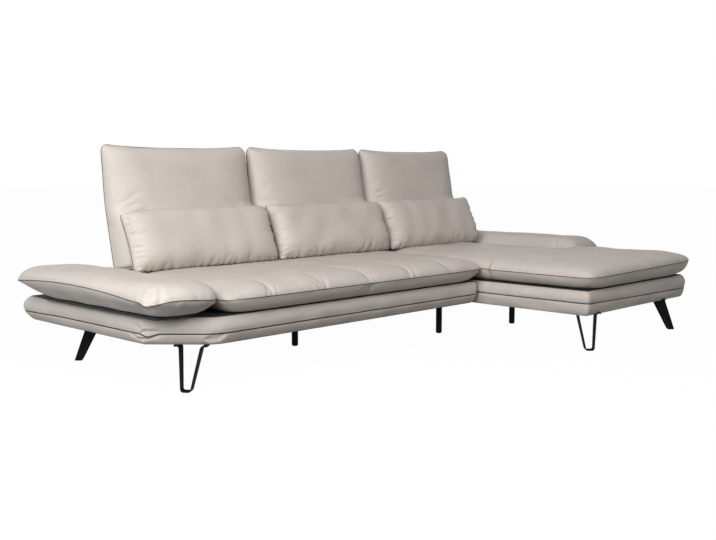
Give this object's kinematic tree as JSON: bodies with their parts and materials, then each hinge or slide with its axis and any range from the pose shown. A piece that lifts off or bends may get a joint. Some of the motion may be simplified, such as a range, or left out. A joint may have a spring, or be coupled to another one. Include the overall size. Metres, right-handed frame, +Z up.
{
  "type": "corner sofa with chaise",
  "caption": "Leather corner sofa with a chaise on steel V legs, with backs that slide rearwards, headrests that fold back and arm pads that tilt up.",
  "frame": {"origin": "on the floor, under the middle of the whole sofa's footprint", "axes": "+X from the main unit towards the chaise, which is on the sitter's left, -Y towards the front, +Z up"},
  "size_m": [3.267, 1.89, 1.008],
  "materials": {
    "leather": "smooth semi-aniline leather, greige, soft satin sheen",
    "black_steel": "black powder coat, satin",
    "zinc_steel": "bright zinc plated",
    "plywood": "bare birch plywood",
    "webbing": "woven elastic upholstery webbing",
    "black_cloth": "black non-woven lining cloth"
  },
  "bodies": {
    "root": {"base_cover_main": "leather", "base_cover_chaise": "leather", "frame_main": "plywood", "frame_chaise": "plywood", "webbing_main": "webbing", "webbing_chaise": "webbing", "dust_cover_main": "black_cloth", "dust_cover_chaise": "black_cloth", "seat_cushion": "leather", "chaise_cushion": "leather", "leg_front_left": "black_steel", "leg_rear_left": "black_steel", "leg_chaise_left": "black_steel", "leg_chaise_right": "black_steel", "leg_rear_right": "black_steel", "post_centre": "black_steel", "post_front": "black_steel", "post_rear": "black_steel", "post_chaise_centre": "black_steel", "post_chaise_rear": "black_steel", "link_plate_front": "zinc_steel", "link_plate_rear": "zinc_steel", "slide_rails_1": "zinc_steel", "slide_rails_2": "zinc_steel", "slide_rails_3": "zinc_steel", "arm_bracket_left_front": "zinc_steel", "arm_bracket_left_rear": "zinc_steel", "arm_bracket_right_front": "zinc_steel", "arm_bracket_right_rear": "zinc_steel"},
    "arm_left": {"arm_pad_left": "leather", "arm_board_left": "black_cloth", "arm_lever_left_front": "zinc_steel", "arm_lever_left_rear": "zinc_steel"},
    "arm_right": {"arm_pad_right": "leather", "arm_board_right": "black_cloth", "arm_lever_right_front": "zinc_steel", "arm_lever_right_rear": "zinc_steel"},
    "back_1": {"back_cushion_1": "leather", "back_shell_1": "leather", "back_carriage_1": "zinc_steel", "lumbar_cushion_1": "leather"},
    "headrest_1": {"headrest_cushion_1": "leather", "headrest_shell_1": "leather", "headrest_hinge_1": "zinc_steel"},
    "back_2": {"back_cushion_2": "leather", "back_shell_2": "leather", "back_carriage_2": "zinc_steel", "lumbar_cushion_2": "leather"},
    "headrest_2": {"headrest_cushion_2": "leather", "headrest_shell_2": "leather", "headrest_hinge_2": "zinc_steel"},
    "back_3": {"back_cushion_3": "leather", "back_shell_3": "leather", "back_carriage_3": "zinc_steel", "lumbar_cushion_3": "leather"},
    "headrest_3": {"headrest_cushion_3": "leather", "headrest_shell_3": "leather", "headrest_hinge_3": "zinc_steel"}
  },
  "joints": [
    {"name": "arm_tilt_left", "type": "hinge", "parent": "root", "child": "arm_left", "pos_m": [-1.2865, 0.27, 0.3738], "axis": [0, 1, 0], "range_deg": [0, 40]},
    {"name": "arm_tilt_right", "type": "hinge", "parent": "root", "child": "arm_right", "pos_m": [1.2865, 0.27, 0.3738], "axis": [0, -1, 0], "range_deg": [0, 40]},
    {"name": "back_slide_1", "type": "slide", "parent": "root", "child": "back_1", "axis": [0, 1, 0], "range_m": [0, 0.22]},
    {"name": "back_slide_2", "type": "slide", "parent": "root", "child": "back_2", "axis": [0, 1, 0], "range_m": [0, 0.22]},
    {"name": "back_slide_3", "type": "slide", "parent": "root", "child": "back_3", "axis": [0, 1, 0], "range_m": [0, 0.22]},
    {"name": "headrest_tilt_1", "type": "hinge", "parent": "back_1", "child": "headrest_1", "pos_m": [-0.846, 0.6547, 0.735], "axis": [-1, 0, 0], "range_deg": [0, 80]},
    {"name": "headrest_tilt_2", "type": "hinge", "parent": "back_2", "child": "headrest_2", "pos_m": [0.018, 0.6547, 0.735], "axis": [-1, 0, 0], "range_deg": [0, 80]},
    {"name": "headrest_tilt_3", "type": "hinge", "parent": "back_3", "child": "headrest_3", "pos_m": [0.864, 0.6547, 0.735], "axis": [-1, 0, 0], "range_deg": [0, 80]}
  ]
}
